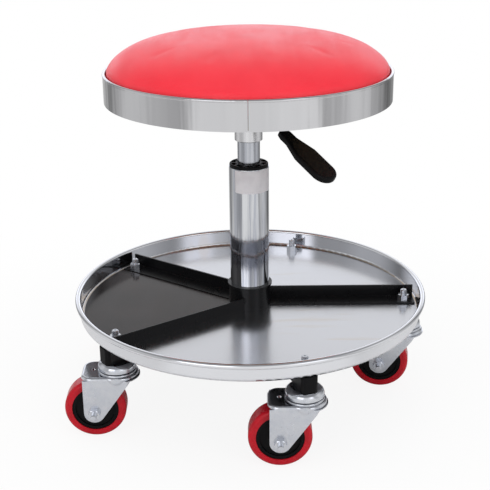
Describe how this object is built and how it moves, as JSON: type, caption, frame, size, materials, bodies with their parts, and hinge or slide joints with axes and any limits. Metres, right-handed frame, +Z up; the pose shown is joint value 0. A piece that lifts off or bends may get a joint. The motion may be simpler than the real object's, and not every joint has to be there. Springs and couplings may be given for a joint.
{
  "type": "rolling workshop stool",
  "caption": "Low rolling workshop stool: padded round seat on a gas-lift swivel column, a round divided parts tray, and swivel casters.",
  "frame": {"origin": "on the floor, under the centre of the column", "axes": "+Z up; +X along the arm that carries caster 0; the front of the stool is -Y"},
  "size_m": [0.4548, 0.4521, 0.4695],
  "materials": {
    "tray_chrome": "polished",
    "column_chrome": "polished",
    "black_paint": "semi-gloss",
    "zinc_plate": "zinc plated",
    "band_steel": "brushed",
    "satin_steel": "satin",
    "bearing_steel": "ground",
    "valve_brass": "satin",
    "red_vinyl": "satin",
    "cushion_foam": "open cell",
    "seat_plywood": "raw",
    "red_tyre": "satin",
    "black_plastic": "satin",
    "dark_mat": "smooth",
    "buffer_rubber": "matt"
  },
  "bodies": {
    "base": {"base_arms": "black_paint", "arm_end_plugs": "black_plastic", "hub_sleeve": "black_paint", "tray": "tray_chrome", "tray_dividers": "black_paint", "tray_mat": "dark_mat", "column_tube": "column_chrome", "guide_bush": "black_plastic", "thrust_washer_lower": "bearing_steel", "thrust_cage": "valve_brass", "thrust_balls": "bearing_steel", "caster_cups": "zinc_plate", "caster_stems": "zinc_plate", "caster_balls": "bearing_steel", "stem_nuts": "zinc_plate"},
    "rod": {"piston_rod": "bearing_steel", "piston": "buffer_rubber", "thrust_washer_upper": "bearing_steel", "rubber_buffer": "buffer_rubber", "rod_clip": "bearing_steel"},
    "seat": {"gas_cylinder": "satin_steel", "rod_gland": "valve_brass", "valve_body": "valve_brass", "seat_socket": "satin_steel", "seat_plate": "black_paint", "lever_ears": "black_paint", "lever_pin": "zinc_plate", "seat_screws": "zinc_plate", "seat_board": "seat_plywood", "seat_foam": "cushion_foam", "seat_cover": "red_vinyl", "seat_band": "band_steel"},
    "lever": {"lever_arm": "black_paint", "lever_paddle": "black_plastic"},
    "valve": {"valve_pin": "bearing_steel"},
    "fork_0": {"caster_0_fork": "zinc_plate", "caster_0_axle_sleeve": "zinc_plate", "caster_0_axle_bolt_and_nut": "zinc_plate"},
    "wheel_0": {"caster_0_wheel_core": "black_plastic", "caster_0_tyre": "red_tyre"},
    "fork_1": {"caster_1_fork": "zinc_plate", "caster_1_axle_sleeve": "zinc_plate", "caster_1_axle_bolt_and_nut": "zinc_plate"},
    "wheel_1": {"caster_1_wheel_core": "black_plastic", "caster_1_tyre": "red_tyre"},
    "fork_2": {"caster_2_fork": "zinc_plate", "caster_2_axle_sleeve": "zinc_plate", "caster_2_axle_bolt_and_nut": "zinc_plate"},
    "wheel_2": {"caster_2_wheel_core": "black_plastic", "caster_2_tyre": "red_tyre"},
    "fork_3": {"caster_3_fork": "zinc_plate", "caster_3_axle_sleeve": "zinc_plate", "caster_3_axle_bolt_and_nut": "zinc_plate"},
    "wheel_3": {"caster_3_wheel_core": "black_plastic", "caster_3_tyre": "red_tyre"},
    "fork_4": {"caster_4_fork": "zinc_plate", "caster_4_axle_sleeve": "zinc_plate", "caster_4_axle_bolt_and_nut": "zinc_plate"},
    "wheel_4": {"caster_4_wheel_core": "black_plastic", "caster_4_tyre": "red_tyre"}
  },
  "joints": [
    {"name": "seat_swivel", "type": "hinge", "parent": "base", "child": "rod", "pos_m": [0, 0, 0.0745], "axis": [0, 0, 1], "continuous": true},
    {"name": "seat_lift", "type": "slide", "parent": "rod", "child": "seat", "axis": [0, 0, 1], "range_m": [0, 0.12]},
    {"name": "lever_turn", "type": "hinge", "parent": "seat", "child": "lever", "pos_m": [0.01838, -0.01838, 0.3792], "axis": [-0.7071, -0.7071, 0], "range_deg": [0, 6.6], "stiffness_Nm_per_rad": 1.5},
    {"name": "valve_press", "type": "slide", "parent": "seat", "child": "valve", "axis": [0, 0, -1], "range_m": [0, 0.003]},
    {"name": "caster_0_swivel", "type": "hinge", "parent": "base", "child": "fork_0", "pos_m": [0.2, 0, 0.0847], "axis": [0, 0, 1], "continuous": true},
    {"name": "caster_0_roll", "type": "hinge", "parent": "fork_0", "child": "wheel_0", "pos_m": [0.17234, 0.00438, 0.0375], "axis": [-0.1564, -0.9877, 0], "continuous": true},
    {"name": "caster_1_swivel", "type": "hinge", "parent": "base", "child": "fork_1", "pos_m": [0.0618, 0.19021, 0.0847], "axis": [0, 0, 1], "continuous": true},
    {"name": "caster_1_roll", "type": "hinge", "parent": "fork_1", "child": "wheel_1", "pos_m": [0.0338, 0.19021, 0.0375], "axis": [0, -1, 0], "continuous": true},
    {"name": "caster_2_swivel", "type": "hinge", "parent": "base", "child": "fork_2", "pos_m": [-0.1618, 0.11756, 0.0847], "axis": [0, 0, 1], "continuous": true},
    {"name": "caster_2_roll", "type": "hinge", "parent": "fork_2", "child": "wheel_2", "pos_m": [-0.1898, 0.11756, 0.0375], "axis": [0, -1, 0], "continuous": true},
    {"name": "caster_3_swivel", "type": "hinge", "parent": "base", "child": "fork_3", "pos_m": [-0.1618, -0.11756, 0.0847], "axis": [0, 0, 1], "continuous": true},
    {"name": "caster_3_roll", "type": "hinge", "parent": "fork_3", "child": "wheel_3", "pos_m": [-0.18979, -0.11829, 0.0375], "axis": [0.0262, -0.9997, 0], "continuous": true},
    {"name": "caster_4_swivel", "type": "hinge", "parent": "base", "child": "fork_4", "pos_m": [0.0618, -0.19021, 0.0847], "axis": [0, 0, 1], "continuous": true},
    {"name": "caster_4_roll", "type": "hinge", "parent": "fork_4", "child": "wheel_4", "pos_m": [0.0338, -0.19007, 0.0375], "axis": [-0.0052, -1, 0], "continuous": true}
  ],
  "couplings": [
    {"joint": "valve_press", "follows": "lever_turn", "m_per_rad": 0.026}
  ]
}
